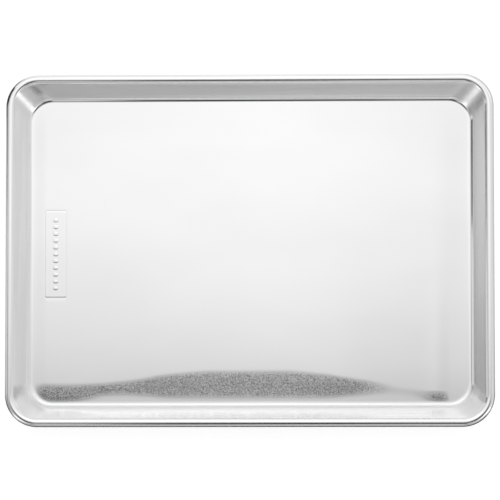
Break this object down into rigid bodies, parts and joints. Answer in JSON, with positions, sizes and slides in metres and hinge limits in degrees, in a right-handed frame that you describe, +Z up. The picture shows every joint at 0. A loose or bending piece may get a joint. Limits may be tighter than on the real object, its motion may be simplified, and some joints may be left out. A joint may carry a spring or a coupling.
{
  "type": "jelly roll pan",
  "caption": "Shallow rectangular baking pan pressed from natural aluminium sheet, with leaning walls, rounded corners and a rim rolled round a steel wire.",
  "frame": {"origin": "centre of the base's underside", "axes": "+X along the pan's long side, away from the stamped panel; +Y across it; +Z up, out of the open side"},
  "size_m": [0.4, 0.2894, 0.0254],
  "materials": {
    "pan_sheet": "satin natural aluminium, fine rolled grain",
    "rim_wire": "drawn wire, galvanised"
  },
  "bodies": {
    "root": {"pan_shell": "pan_sheet", "rim_wire": "rim_wire"}
  },
  "joints": []
}
